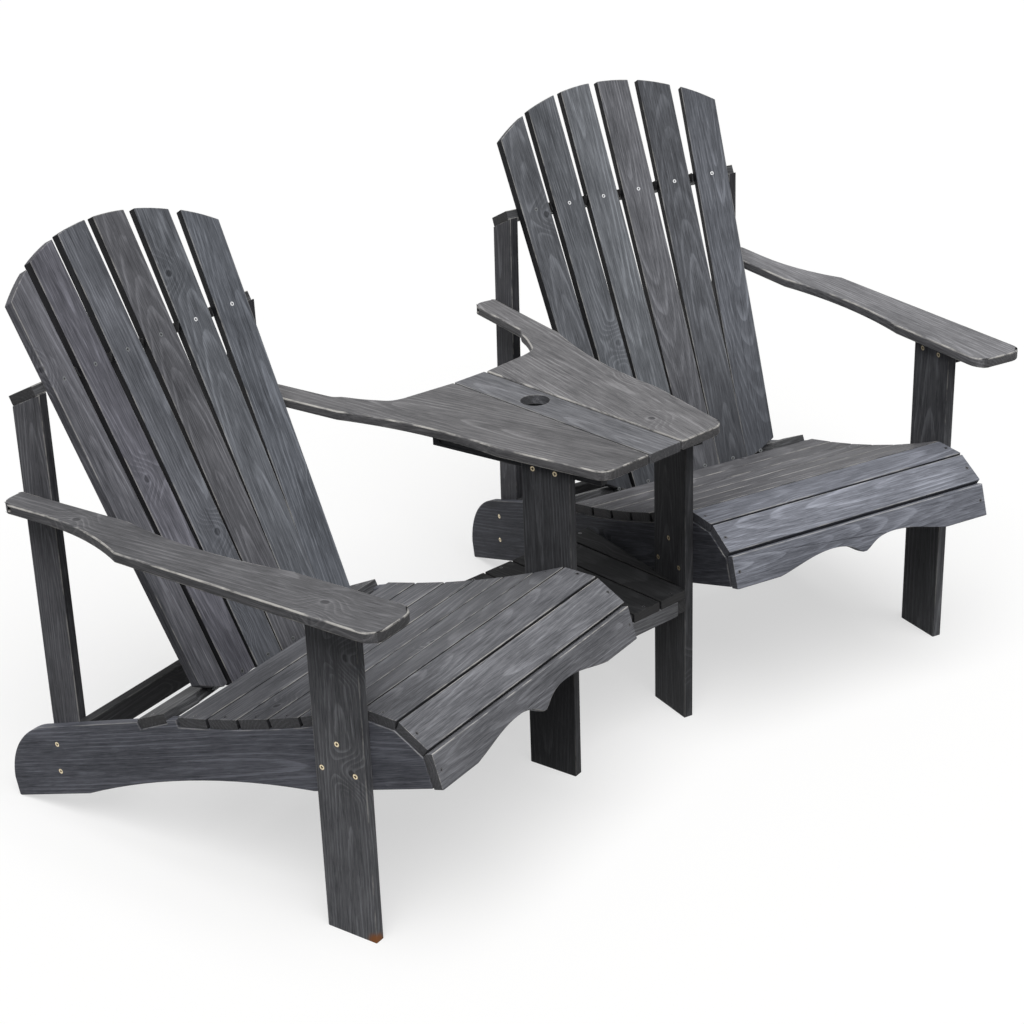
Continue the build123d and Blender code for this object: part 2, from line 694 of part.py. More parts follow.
for i in range(slats_per_half):
    plane, upper = slat_plane(i)
    for level, kind, member in ((0, "steel", "lower_back_rail"), (upper_level, "steel", "back_crosspiece")):
        spot = (plane * Pos(upper.X / upper.Y * level, level, 0)).position
        away = -plane.z_dir
        length = short_screw if member == "back_crosspiece" else long_screw
        fix(kind, length, tuple(spot), tuple(away), ["back_slat_%d" % (slats_per_half + 1 + i), member])
        fix(kind, length, (-spot.X, spot.Y, spot.Z), (-away.X, away.Y, away.Z),
            ["back_slat_%d" % (slats_per_half - i), member])
ledger_middle = (batten_low + shelf_under) / 2
for share in ledger_screw_shares:
    fix("brass", long_screw, (leg_outer + board, share * leg_width, ledger_middle), (-1, 0, 0),
        ["shelf_ledger", "front_leg_inner"], frame=splay[1])

for name, tools in drills.items():
    if name in pieces:
        pieces[name] = pieces[name] - tools

to_left = Pos(-chair_offset, 0, 0) * Rot(0, 0, chair_turn)
final = {}
groups = {"brass": [], "steel": [], "dark": []}
for name, shape in pieces.items():
    if not name.startswith("narrow"):
        final["left_" + name] = to_left * shape
final["left_seat_slats"] = to_left * Compound([pieces["narrow_%d" % i] for i in range(narrow_slats)])
final["left_table_board"] = table_board - [to_left * tool for tool in drills["table_board"]]
final["left_shelf_ledger"] = to_left * ledger_local - [to_left * tool for tool in drills["shelf_ledger"]]
for kind, found in screws.items():
    groups[kind] = [to_left * shape for shape in found]
final.update({name.replace("left_", "right_", 1): flip(shape) for name, shape in final.items()})
for kind in groups:
    groups[kind] += [flip(shape) for shape in groups[kind]]

# Middle pieces, which are their own mirror images
middle = {"table_centre_board": centre_board, "shelf_batten_front": front_shelf_batten,
          "shelf_batten_rear": rear_shelf_batten}
middle.update(cross_battens)
drills.clear()
screws["dark"].clear()
screw_out = cross_batten_screw_share * cross_batten_half
for name, start in (("table_cross_batten_front", cross_batten_front_y),
                    ("table_cross_batten_rear", cross_batten_rear_y)):
    for x, board_name in ((-screw_out, "left_table_board"), (0, "table_centre_board"),
                          (screw_out, "right_table_board")):
        spot = (x, start + cross_batten_width / 2, arm_under - cross_batten_height)
        fix("dark", cross_batten_height + board / 2, spot, (0, 0, 1), [name, board_name])
shelf_nodes = {
    "left_shelf_board_outer": [shelf_boards[2]],
    "right_shelf_board_outer": [flip(shelf_boards[2])],
    "shelf_boards_middle": [shelf_boards[1], shelf_boards[0], flip(shelf_boards[0]), flip(shelf_boards[1])],
}
for name, strips in shelf_nodes.items():
    for order, strip in enumerate(strips):
        piece = "%s %d" % (name, order)
        middle_x = (strip.bounding_box().min.X + strip.bounding_box().max.X) / 2
        for y, member in ((shelf_front_y + board / 2, "shelf_batten_front"),
                          (shelf_rear_y - board / 2, "shelf_batten_rear")):
            if strip.bounding_box().min.Y < y:
                fix("dark", long_screw, (middle_x, y, shelf_top), (0, 0, -1), [piece, member])
    finished = [strip - drills.get("%s %d" % (name, order), []) for order, strip in enumerate(strips)]
    final[name] = Compound(finished) if len(finished) > 1 else finished[0]
for name, shape in middle.items():
    final[name] = shape - drills.get(name, [])
for name in ("left_table_board", "right_table_board"):
    final[name] = final[name] - drills.get(name, [])
groups["dark"] += screws["dark"]
final["brass_screws"] = Compound(groups["brass"])
final["steel_back_screws"] = Compound(groups["steel"])
final["dark_screws"] = Compound(groups["dark"])

# The set's origin is the middle of its footprint, on the ground
low = min(shape.bounding_box().min.Y for shape in final.values())
high = max(shape.bounding_box().max.Y for shape in final.values())
for name, shape in final.items():
    export_step(Pos(0, -(low + high) / 2, 0) * shape, "parts/%s.step" % name)
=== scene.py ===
from math import asin, cos, radians, sin, sqrt

import bpy
import numpy as np
from mathutils import Matrix, Vector


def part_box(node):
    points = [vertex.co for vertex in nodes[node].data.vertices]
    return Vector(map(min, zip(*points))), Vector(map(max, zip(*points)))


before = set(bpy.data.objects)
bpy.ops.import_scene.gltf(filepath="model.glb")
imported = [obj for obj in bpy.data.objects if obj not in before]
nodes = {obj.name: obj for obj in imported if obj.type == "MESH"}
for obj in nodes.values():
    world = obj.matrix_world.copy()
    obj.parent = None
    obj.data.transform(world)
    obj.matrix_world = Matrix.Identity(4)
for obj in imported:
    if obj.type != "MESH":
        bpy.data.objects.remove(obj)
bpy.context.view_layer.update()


# Camera
# A long lens just above head height off the left chair's outer front corner, rolled a little, as the
# photograph was taken. The shift only puts the frame back where the photograph was cropped.
camera_spot = (-2.27342, -2.48105, 1.91757)
camera_yaw, camera_pitch, camera_roll = radians(-38.4482), radians(-24.3816), radians(-3.516)
focal_pixels, frame_pixels = 2109.547, 1024
middle_pixel = (389.55, 503.31)

flat_ahead = Vector((-sin(camera_yaw), cos(camera_yaw), 0))
ahead = cos(camera_pitch) * flat_ahead + sin(camera_pitch) * Vector((0, 0, 1))
level = Vector((cos(camera_yaw), sin(camera_yaw), 0))
upright = level.cross(ahead)
camera_right = cos(camera_roll) * level + sin(camera_roll) * upright
camera_up = cos(camera_roll) * upright - sin(camera_roll) * level
camera = bpy.data.objects.new("camera", bpy.data.cameras.new("camera"))
camera_turn = Matrix((camera_right, camera_up, -ahead)).transposed()
camera.matrix_world = Matrix.Translation(camera_spot) @ camera_turn.to_4x4()
camera.data.sensor_width = 36
camera.data.lens = 36 * focal_pixels / frame_pixels
camera.data.shift_x = (frame_pixels / 2 - middle_pixel[0]) / frame_pixels
camera.data.shift_y = (middle_pixel[1] - frame_pixels / 2) / frame_pixels
bpy.context.scene.collection.objects.link(camera)
bpy.context.scene.camera = camera
bpy.context.scene.view_settings.view_transform = "Standard"


# Studio
# A plain pale floor under a wide overhead softbox. The floor looks pale to the camera and throws
# little light back, so that the undersides and inner faces stay as dark as in the photograph.
class Value:
    """A number or colour that varies over a surface. Sums and products of it add Math nodes."""

    def __init__(self, finish, socket):
        self.finish, self.socket = finish, socket

    def combine(self, operation, first, second):
        return self.finish.add("Math", {"operation": operation}, {0: first, 1: second})

    def __add__(self, other):
        return self.combine("ADD", self, other)

    def __sub__(self, other):
        return self.combine("SUBTRACT", self, other)

    def __rsub__(self, other):
        return self.combine("SUBTRACT", other, self)

    def __mul__(self, other):
        return self.combine("MULTIPLY", self, other)

    def __truediv__(self, other):
        return self.combine("DIVIDE", self, other)

    __radd__, __rmul__ = __add__, __mul__


class Finish:
    """A material whose nodes are added one by one with add()."""

    def __init__(self, name):
        self.material = bpy.data.materials.new(name)
        self.material.use_nodes = True
        self.tree = self.material.node_tree
        self.shader = self.tree.nodes["Principled BSDF"]

    def feed(self, socket, value):
        if isinstance(value, Value):
            self.tree.links.new(value.socket, socket)
        else:
            socket.default_value = value

    def add(self, kind, settings=None, inputs=None, output=0):
        """Makes one node: its settings first, then the values or links of its sockets."""
        node = self.tree.nodes.new("ShaderNode" + kind)
        for key, value in (settings or {}).items():
            setattr(node, key, value)
        for key, value in (inputs or {}).items():
            self.feed(node.inputs[key], value)
        return Value(self, node.outputs[output])

    def surface(self, **inputs):
        """Feeds the shader's own sockets, named with _ for a space."""
        for key, value in inputs.items():
            self.feed(self.shader.inputs[key.replace("_", " ")], value)

    def blend(self, share, first, second):
        """A colour between two colours."""
        return self.add("Mix", {"data_type": "RGBA"}, {0: share, 6: first, 7: second}, output=2)

    def between(self, value, low, high):
        """0 below low, 1 above high, and a soft step between them; high may be the lower one."""
        return self.add("MapRange", {"interpolation_type": "SMOOTHSTEP"}, {0: value, 1: low, 2: high})


floor_glow, floor_seen, floor_bounce = 0.60, 0.37, 0.07
floor_half = 60.0
floor_mesh = bpy.data.meshes.new("floor")
corners = np.array([(-1, -1), (1, -1), (1, 1), (-1, 1)]) * floor_half
floor_mesh.from_pydata([(x, y, 0) for x, y in corners.tolist()], [], [(0, 1, 2, 3)])
floor = bpy.data.objects.new("floor", floor_mesh)
floor_finish = Finish("pale_floor")
looked_at = floor_finish.add("LightPath", output="Is Camera Ray")
mirrored = floor_finish.add("LightPath", output="Is Glossy Ray")
shown = floor_finish.add("Math", {"operation": "MAXIMUM"}, {0: looked_at, 1: mirrored})
floor_tone = shown * (floor_seen - floor_bounce) + floor_bounce
glow = shown * floor_glow
floor_finish.surface(
    Roughness=0.9, Specular_IOR_Level=0.0, Emission_Strength=1.0,
    Base_Color=floor_finish.add("CombineColor", None, {0: floor_tone, 1: floor_tone, 2: floor_tone}),
    Emission_Color=floor_finish.add("CombineColor", None, {0: glow, 1: glow, 2: glow}))
floor_mesh.materials.append(floor_finish.material)
bpy.context.scene.collection.objects.link(floor)

world = bpy.data.worlds.new("studio")
world.use_nodes = True
sky = world.node_tree
room = sky.nodes["Background"]
room.inputs["Strength"].default_value = 0.13
room.inputs["Color"].default_value = (0.97, 0.985, 1.0, 1)
backdrop = sky.nodes.new("ShaderNodeBackground")
backdrop.inputs["Strength"].default_value = 1.0
path = sky.nodes.new("ShaderNodeLightPath")
shown_white = sky.nodes.new("ShaderNodeMath")
shown_white.operation = "MAXIMUM"
sky.links.new(path.outputs["Is Camera Ray"], shown_white.inputs[0])
sky.links.new(path.outputs["Is Glossy Ray"], shown_white.inputs[1])
either = sky.nodes.new("ShaderNodeMixShader")
sky.links.new(shown_white.outputs[0], either.inputs[0])
sky.links.new(room.outputs[0], either.inputs[1])
sky.links.new(backdrop.outputs[0], either.inputs[2])
sky.links.new(either.outputs[0], sky.nodes["World Output"].inputs["Surface"])
bpy.context.scene.world = world

key_lamp = bpy.data.lights.new("overhead_softbox", "SUN")
key_lamp.energy = 3.35
key_lamp.angle = radians(56)
key_lamp.color = (1.0, 0.995, 0.985)
key = bpy.data.objects.new("overhead_softbox", key_lamp)
key_height, key_side = radians(66), radians(-122)
key_from = Vector((cos(key_height) * cos(key_side), cos(key_height) * sin(key_side), sin(key_height)))
key.matrix_world = key_from.to_track_quat("Z", "Y").to_matrix().to_4x4()
bpy.context.scene.collection.objects.link(key)


# Side rails
# Softwood boards 17 mm thick, planed and stained slate grey, that slope from the seat's nose to the
# ground, screwed to the legs and posts. The stain is rubbed pale along their eased edges.
chair_turn = radians(13.0)
rail_slope = radians(19.06)
# The right inner rail's low tone is painted shade, where it runs under the table; the other tones are the
# stain's own.
rail_tones_and_shade = {"left_outer": 0.98, "left_inner": 0.98, "right_outer": 0.98, "right_inner": 0.68}
slate = {
    "deep": (0.026, 0.027, 0.030),
    "pale": (0.262, 0.266, 0.280),
    "rubbed": (0.66, 0.64, 0.60, 1),
    "end": (0.045, 0.044, 0.045, 1),
    # side: painted shade for the narrow faces, where they face the gaps between boards
    "side": (0.006, 0.006, 0.007, 1),
    "bare": (0.30, 0.12, 0.045, 1),
}
knot_cell, knot_free_share, lane_jump = 0.17, 0.76, 1.37
end_stain = 0.55
eased_edge, least_eased_edge, sharp_bend = 0.0014, 0.0022, radians(35)
weld_distance = 0.00002
rng = np.random.default_rng(5)


def chair_way(side, across, back, up):
    """A direction given in a chair's own frame, turned to the set's frame; right is the mirror of left."""
    x = across * cos(chair_turn) - back * sin(chair_turn)
    y = across * sin(chair_turn) + back * cos(chair_turn)
    return Vector((x if side == "left" else -x, y, up)).normalized()


def stained_wood(name, origin, along, face, tone, tint, wear_share, side_shade_share, lane, bare_spot, figure,
                 low_shade):
    """Stained softwood: rings round a pith below the board, cut by the board's faces.

    A point's ring number is its distance from the pith line, bent by slow noise and pushed aside
    round knots, over the ring spacing. Fibres are noise drawn out along the grain, blotches are
    slow noise, and the rubbed edge is where the normal lies between the board's own axes. The
    narrow faces, and for some boards the low end, are darkened with painted shade. A noise's stretch
    is its waves per metre along, across and through the board. With a lane, the pitch of boards that
    lie side by side in one piece, each board gets its own stretch of wood.
    """
    wood = Finish(name)
    seed = float(rng.uniform(0, 50))
    across = face.cross(along).normalized()
    thick = along.cross(across)
    turn = Matrix((along, across, thick)).transposed().to_euler()
    spot = wood.add("TexCoord", output="Object")
    local = wood.add("Mapping", {"vector_type": "TEXTURE"}, {
        "Vector": spot, "Location": origin, "Rotation": turn})
    length, width, depth = [wood.add("SeparateXYZ", None, {0: local}, output=i) for i in range(3)]
    if lane:
        number = wood.add("Math", {"operation": "FLOOR"}, {0: width / lane})
        width = width - number * lane
        length = length + number * lane_jump

    def noise(stretch, offset, detail, roughness=0.5):
        place = wood.add("CombineXYZ", None, {
            0: length * stretch[0], 1: width * stretch[1], 2: depth * stretch[2]})
        return wood.add("TexNoise", {"noise_dimensions": "4D"}, {
            "Vector": place, "W": seed + offset, "Scale": 1.0, "Detail": detail,
            "Roughness": roughness}) - 0.5

    # Grain, and the slow changes of the stain and of the rings' course.
    fibre = noise((26, 700, 700), 0, 3, 0.7)
    streak = noise((5, 210, 210), 3, 3, 0.65)
    blotch = noise((10, 24, 24), 7, 3, 0.6)
    cloud = noise((2.2, 7, 7), 9, 1)
    drift = noise((1.3, 2, 2), 11, 1)
    waver = noise((14, 40, 40), 17, 3, 0.6)

    # Knots: in some cells of a flat pattern, one dark spot with a paler rim that pushes the rings aside.
    flat = wood.add("CombineXYZ", None, {
        0: length / knot_cell + seed * 3.7, 1: width / knot_cell + seed * 1.3, 2: 0.0})
    knots = {"Vector": flat, "Scale": 1.0, "Randomness": 1.0}
    from_knot = wood.add("TexVoronoi", {"voronoi_dimensions": "2D"}, knots, output="Distance") * knot_cell
    chance = wood.add("SeparateColor", None, {
        0: wood.add("TexVoronoi", {"voronoi_dimensions": "2D"}, knots, output="Color")})
    picked = wood.add("Math", {"operation": "GREATER_THAN"}, {0: chance, 1: knot_free_share})
    uneven = from_knot + waver * 0.007
    pushed = wood.between(uneven, 0.050, 0.0) * picked
    knot = wood.between(uneven, 0.0080, 0.0045) * picked
    knot_rim = wood.between(uneven, 0.014, 0.007) * picked - knot

    # Rings: their spacing and the place and slope of the pith differ from board to board.
    spacing = float(rng.uniform(0.0045, 0.0075))
    pith_aside = float(rng.uniform(-0.025, 0.025))
    pith_below = float(rng.uniform(0.016, 0.036))
    pith_climb = float(rng.uniform(0.03, 0.08)) * float(rng.choice((-1, 1)))
    sideways = width + drift * 0.05 - pith_aside
    below = depth + length * pith_climb + drift * 0.05 + pith_below
    reach = wood.add("Math", {"operation": "SQRT"}, {0: sideways * sideways + below * below})
    ring = (reach + waver * 0.0040 + pushed * 0.022) / spacing
    growth = wood.add("Math", {"operation": "FRACT"}, {0: ring + fibre * 0.25})
    each = wood.add("TexWhiteNoise", {"noise_dimensions": "1D"}, {
        "W": wood.add("Math", {"operation": "FLOOR"}, {0: ring})})
    line = wood.between(growth, 0.45, 0.90) * wood.between(growth, 1.0, 0.93) * (each * 0.75 + 0.25)
    broken = wood.between(streak * 0.6 + blotch, -0.20, 0.14)
    fleck = wood.between(noise((60, 400, 400), 23, 2, 0.6), 0.10, 0.24)

    # Stain: from deep to pale by the grain, then rubbed on the edges and darker on end grain. The narrow
    # faces and the low end get painted shade.
    slow = streak * 0.46 + blotch * 0.46 + cloud * 0.28 + line * broken * 0.40 - 0.04
    shade = 0.42 + fibre * 1.05 + slow * figure + fleck * 0.15 + knot_rim * 0.14 - knot * 0.20
    pale = tuple(tone * part * hue for part, hue in zip(slate["pale"], tint)) + (1,)
    deep = tuple(tone * part * hue for part, hue in zip(slate["deep"], tint)) + (1,)
    colour = wood.blend(wood.between(shade, -0.10, 1.10), deep, pale)
    # Painted shade at the low end, where the slats' feet sit in the corner between seat and back.
    if low_shade:
        colour = wood.blend(wood.between(length + cloud * 0.1, -0.06, -0.36) * low_shade, colour, deep)
    normal = wood.add("NewGeometry", output="True Normal")
    facing, ending = [wood.add("Math", {"operation": "ABSOLUTE"}, {0: wood.add(
        "VectorMath", {"operation": "DOT_PRODUCT"}, {0: normal, 1: axis}, output="Value")})
        for axis in (thick, along)]
    end = wood.between(ending, 0.75, 0.9)
    # Painted shade on the narrow faces, which lie in the gaps between boards.
    shaded_side_face = wood.between(facing, 0.35, 0.10) * (1.0 - end)
    colour = wood.blend(shaded_side_face * side_shade_share, colour, slate["side"])
    edge = wood.between(facing, 0.12, 0.35) * wood.between(facing, 0.97, 0.90)
    wear = wood.between(noise((24, 60, 60), 29, 3, 0.6) + streak * 0.5, -0.12, 0.12) * edge
    colour = wood.blend(wear * wear_share, colour, slate["rubbed"])
    colour = wood.blend(end * end_stain, colour, slate["end"])
    if bare_spot:
        away = wood.add("VectorMath", {"operation": "DISTANCE"}, {0: spot, 1: bare_spot}, output="Value")
        colour = wood.blend(wood.between(away + blotch * 0.012, 0.022, 0.010), colour, slate["bare"])
    height = fibre * 0.5 + line * 0.3 + streak * 0.4 - knot * 0.3
    bump = wood.add("Bump", None, {"Height": height, "Strength": 0.5, "Distance": 0.0006})
    wood.surface(Base_Color=colour, Roughness=0.62 + fibre * 0.25 - line * 0.06, Normal=bump,
                 Specular_IOR_Level=0.16)
    return wood.material


def middle_of(name):
    low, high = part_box(name)
    return (Vector(low) + Vector(high)) / 2


def broad_face(name, near):
    """The direction that most of a board's area faces: the sum of its faces' areas times their normals,
    over the faces within 45 degrees of the direction given."""
    faces = nodes[name].data.polygons
    normals, areas = np.zeros(3 * len(faces)), np.zeros(len(faces))
    faces.foreach_get("normal", normals)
    faces.foreach_get("area", areas)
    normals = normals.reshape(-1, 3)
    close = normals @ np.array(near) > cos(radians(45))
    return Vector(areas[close] @ normals[close]).normalized()


def long_edges(least):
    """A modifier tree that lets the bevel take only edges that are sharp and longer than the least.

    The short edges round the screw holes stay crisp, and all other faces are shaded smooth.
    """
    tree = bpy.data.node_groups.new("long_edges", "GeometryNodeTree")
    tree.interface.new_socket("Board", in_out="INPUT", socket_type="NodeSocketGeometry")
    tree.interface.new_socket("Board", in_out="OUTPUT", socket_type="NodeSocketGeometry")
    board_in, board_out = tree.nodes.new("NodeGroupInput"), tree.nodes.new("NodeGroupOutput")
    ends = tree.nodes.new("GeometryNodeInputMeshEdgeVertices")
    bend = tree.nodes.new("GeometryNodeInputMeshEdgeAngle")
    span = tree.nodes.new("ShaderNodeVectorMath")
    span.operation = "DISTANCE"
    long_enough, sharp, eased, crisp = [tree.nodes.new("ShaderNodeMath") for _ in range(4)]
    long_enough.operation = sharp.operation = "GREATER_THAN"
    eased.operation, crisp.operation = "MULTIPLY", "SUBTRACT"
    long_enough.inputs[1].default_value, sharp.inputs[1].default_value = least, sharp_bend
    plain = tree.nodes.new("GeometryNodeRemoveAttribute")
    plain.inputs["Name"].default_value = "custom_normal"
    smooth = tree.nodes.new("GeometryNodeSetShadeSmooth")
    weight, hard = [tree.nodes.new("GeometryNodeStoreNamedAttribute") for _ in range(2)]
    weight.data_type, weight.domain = "FLOAT", "EDGE"
    weight.inputs["Name"].default_value = "bevel_weight_edge"
    hard.data_type, hard.domain = "BOOLEAN", "EDGE"
    hard.inputs["Name"].default_value = "sharp_edge"
    for start, finish in (
            (board_in.outputs[0], plain.inputs["Geometry"]),
            (plain.outputs["Geometry"], smooth.inputs["Geometry"]),
            (smooth.outputs["Geometry"], weight.inputs["Geometry"]),
            (weight.outputs["Geometry"], hard.inputs["Geometry"]),
            (hard.outputs["Geometry"], board_out.inputs[0]),
            (ends.outputs["Position 1"], span.inputs[0]),
            (ends.outputs["Position 2"], span.inputs[1]),
            (span.outputs["Value"], long_enough.inputs[0]),
            (bend.outputs["Unsigned Angle"], sharp.inputs[0]),
            (long_enough.outputs[0], eased.inputs[0]),
            (sharp.outputs[0], eased.inputs[1]),
            (sharp.outputs[0], crisp.inputs[0]),
            (eased.outputs[0], crisp.inputs[1]),
            (eased.outputs[0], weight.inputs["Value"]),
            (crisp.outputs[0], hard.inputs["Value"])):
        tree.links.new(start, finish)
    return tree


long_edge_tree = long_edges(least_eased_edge)


def dress(name, along, face, tone=1.0, tint=(1, 1, 1), wear=0.5, side_shade=0.0, lane=None, ease=eased_edge,
          bare=None, figure=1.0, low_shade=0.0):
    """Gives a board its stained finish and eases its sharp edges.

    Wear is the share of rubbed stain along the edges, side_shade the share of painted shade on the
    narrow faces, figure the strength of the grain, and low_shade the share of painted shade at the
    low end.
    """
    piece = nodes[name]
    face = broad_face(name, face)
    along = (along - face * along.dot(face)).normalized()
    wood = stained_wood("stained_" + name, middle_of(name), along, face, tone, tint, wear, side_shade, lane,
                        bare, figure, low_shade)
    piece.data.materials.clear()
    piece.data.materials.append(wood)
    weld = piece.modifiers.new("joined_corners", "WELD")
    weld.merge_threshold = weld_distance
    piece.modifiers.new("long_edges", "NODES").node_group = long_edge_tree
    bevel = piece.modifiers.new("eased_edges", "BEVEL")
    bevel.width, bevel.segments = ease, 2
    bevel.limit_method = "WEIGHT"
    bevel.use_clamp_overlap = False
    flat = piece.modifiers.new("flat_faces", "WEIGHTED_NORMAL")
    flat.keep_sharp = True


for side in ("left", "right"):
    down_slope = chair_way(side, 0, cos(rail_slope), -sin(rail_slope))
    for place in ("outer", "inner"):
        dress(side + "_rail_" + place, down_slope, chair_way(side, 1, 0, 0),
              tone=rail_tones_and_shade[side + "_" + place], tint=(0.97, 0.99, 1.10), wear=0.3)


# Legs and posts
# Softwood boards, screwed to the outside of the side rails in front and to their inside at the rear,
# with a stretcher between the posts. The low tones of the inner legs, of the right outer leg and of the
# stretcher are painted shade, where they stand under the table, arms and seat, and one foot has lost
# some stain.
leg_tones_and_shade = {"left_outer": 1.06, "left_inner": 0.42, "right_outer": 0.84, "right_inner": 0.48}
foot = np.zeros(3 * len(nodes["left_front_leg_outer"].data.vertices))
nodes["left_front_leg_outer"].data.vertices.foreach_get("co", foot)
foot = foot.reshape(-1, 3)
lowest_and_foremost = np.argmin(foot[:, 1] + 4 * foot[:, 2])
foot_corner = Vector(foot[lowest_and_foremost])
for side in ("left", "right"):
    outward = chair_way(side, 1, 0, 0)
    for place in ("outer", "inner"):
        dress(side + "_front_leg_" + place, Vector((0, 0, 1)), outward, tone=leg_tones_and_shade[side + "_" + place],
              tint=(1.0, 1.0, 1.02), wear=0.4 if place == "outer" else 0.12,
              bare=foot_corner if side + place == "leftouter" else None)
        dress(side + "_rear_post_" + place, Vector((0, 0, 1)), outward, tone=0.88, tint=(1.0, 0.99, 1.03),
              wear=0.4, side_shade=0.5)
    # The stretcher's low tone is painted shade.
    dress(side + "_rear_stretcher", outward, chair_way(side, 0, 1, 0), tone=0.28, wear=0.15)


# Back frame
# The lower rail sits in notches of the side rails and carries the slats' feet. The crosspiece lies on
# the posts behind the slats. Both are softwood boards at the back's slope, screwed at their ends.
back_run, back_rise = 0.2414, 0.4983
for side in ("left", "right"):
    up_back = chair_way(side, 0, back_run, back_rise)
    dress(side + "_lower_back_rail", chair_way(side, 1, 0, 0), up_back, tone=0.7)
    dress(side + "_back_crosspiece", chair_way(side, 1, 0, 0), up_back, tone=0.52)


# Back slats
# Six tapered softwood slats in a fan, each planed and stained on its own, so that their tones differ.
# They stand in a shallow hollow, screwed at the feet and to the crosspiece, under one sawn crown.
slat_looks = {
    "left": ((1.28, (1.00, 0.99, 1.05)), (1.10, (1.00, 0.98, 1.08)), (1.10, (0.96, 0.99, 1.06)),
             (0.92, (1.00, 0.99, 1.03)), (1.13, (0.96, 1.00, 1.06)), (1.06, (0.95, 1.00, 1.08))),
    "right": ((1.04, (0.96, 1.00, 1.08)), (0.84, (0.97, 1.00, 1.06)), (1.04, (1.00, 1.00, 1.04)),
              (1.26, (0.97, 1.01, 1.05)), (1.00, (0.96, 1.00, 1.05)), (0.94, (0.97, 1.00, 1.05))),
}
slat_count = 6
hollow_radius, yaw_share = 0.965, 0.94
foot_pitch, upper_pitch = 0.0654, 0.0795
for side in ("left", "right"):
    for number in range(slat_count):
        place = number - (slat_count - 1) / 2
        upper = upper_pitch * place
        forward = hollow_radius - sqrt(hollow_radius ** 2 - upper ** 2)
        yaw = asin(upper / hollow_radius) * yaw_share
        along = chair_way(side, (upper_pitch - foot_pitch) * place, back_run - forward, back_rise)
        across = chair_way(side, cos(yaw), -sin(yaw), 0)
        facing = across.cross(along)
        if facing.y > 0:
            facing = -facing
        tone, tint = slat_looks[side][number]
        # The slats get painted shade on their narrow faces, less on the one slat in light, and at their
        # feet by the seat.
        in_light = side == "left" and number == 0
        dress("%s_back_slat_%d" % (side, number + 1), along, facing.normalized(), tone=tone, tint=tint,
              wear=0.35, side_shade=0.25 if in_light else 0.9, figure=0.9,
              low_shade=0.25 if side == "left" else 0.55)


# Seat
# Softwood slats screwed across the side rails: six narrow ones in the dip, a level one and a sloping
# nosing, with a scalloped apron under it. Their front edges are rubbed pale by use.
nosing_slope, apron_lean = radians(31.5), radians(16.9)
seat_pitch = 0.0648
seat_looks = {
    "left": {"narrow": (0.92, (1.0, 1.0, 1.03)), "wide": (0.92, (1.0, 1.0, 1.03)), "wear": 0.6},
    "right": {"narrow": (1.02, (1.02, 1.0, 1.01)), "wide": (1.12, (0.97, 1.0, 1.10)), "wear": 0.4},
}
for side in ("left", "right"):
    crossways = chair_way(side, 1, 0, 0)
    seat_up = chair_way(side, 0, 0.15, 1.0)
    nosing_up = chair_way(side, 0, -sin(nosing_slope), cos(nosing_slope))
    apron_out = chair_way(side, 0, -cos(apron_lean), sin(apron_lean))
    tone, tint = seat_looks[side]["narrow"]
    dress(side + "_seat_slats", crossways, seat_up, tone=tone, tint=tint, wear=0.35, side_shade=0.8,
          lane=seat_pitch, figure=0.75)
    tone, tint = seat_looks[side]["wide"]
    wear = seat_looks[side]["wear"]
    dress(side + "_seat_slat_level", crossways, Vector((0, 0, 1)), tone=tone * 1.19, tint=tint, wear=wear,
          side_shade=0.7, figure=0.75)
    dress(side + "_seat_slat_nosing", crossways, nosing_up, tone=tone * 1.34, tint=tint, wear=wear,
          side_shade=0.7, figure=0.75)
    dress(side + "_front_apron", crossways, apron_out, tone=tone * 1.34, tint=tint, wear=wear, figure=0.75)


# Arms
# Curved flat softwood boards with rounded edges. In front they lie on the legs, screwed from below
# through small battens, and at the rear they are screwed sideways to the posts. The right one took
# less stain.
arm_tones = {"left": 0.88, "right": 1.42}
rounded_edge = 0.0024
for side in ("left", "right"):
    rearward = chair_way(side, 0, 1, 0)
    dress(side + "_outer_arm", rearward, Vector((0, 0, 1)), tone=arm_tones[side], tint=(1.02, 1.0, 1.0),
          wear=0.75, ease=rounded_edge, figure=0.7)
    for place in ("outer", "inner"):
        dress(side + "_arm_batten_" + place, rearward, chair_way(side, 1, 0, 0), tone=0.6)


# Table
# The chairs' inner arms widen into the two outer boards, and a centre board with the parasol hole fills
# the gap. All are softwood, held together by two battens that are screwed to them from below.
table_tones = {"left": 1.01, "right": 1.30}
for side in ("left", "right"):
    dress(side + "_table_board", chair_way(side, 0, 1, 0), Vector((0, 0, 1)), tone=table_tones[side],
          tint=(1.03, 1.0, 0.98), wear=0.8, ease=rounded_edge, figure=0.7)
dress("table_centre_board", Vector((0, 1, 0)), Vector((0, 0, 1)), tone=1.20, tint=(1.0, 1.0, 1.02),
      wear=0.3, ease=0.0010, figure=0.7)
for place in ("front", "rear"):
    dress("table_cross_batten_" + place, Vector((1, 0, 0)), Vector((0, 0, 1)), tone=0.5)


# Shelf
# Six short softwood boards screwed to two cross battens, between ledgers on the inner front legs. They
# are hardly worn, and their low tone is painted shade from the table above. The front batten shows
# under their ends.
shelf_shade_tone, shelf_wear, shelf_pitch = 0.20, 0.05, 0.066
batten_tones = {"front": 1.1, "rear": 0.6}
for side in ("left", "right"):
    dress(side + "_shelf_board_outer", Vector((0, 1, 0)), Vector((0, 0, 1)), tone=shelf_shade_tone,
          wear=shelf_wear)
    dress(side + "_shelf_ledger", chair_way(side, 0, 1, 0), chair_way(side, 1, 0, 0), tone=0.4)
dress("shelf_boards_middle", Vector((0, 1, 0)), Vector((0, 0, 1)), tone=shelf_shade_tone, wear=shelf_wear,
      lane=shelf_pitch)
for place in ("front", "rear"):
    dress("shelf_batten_" + place, Vector((1, 0, 0)), Vector((0, 0, 1)), tone=batten_tones[place])
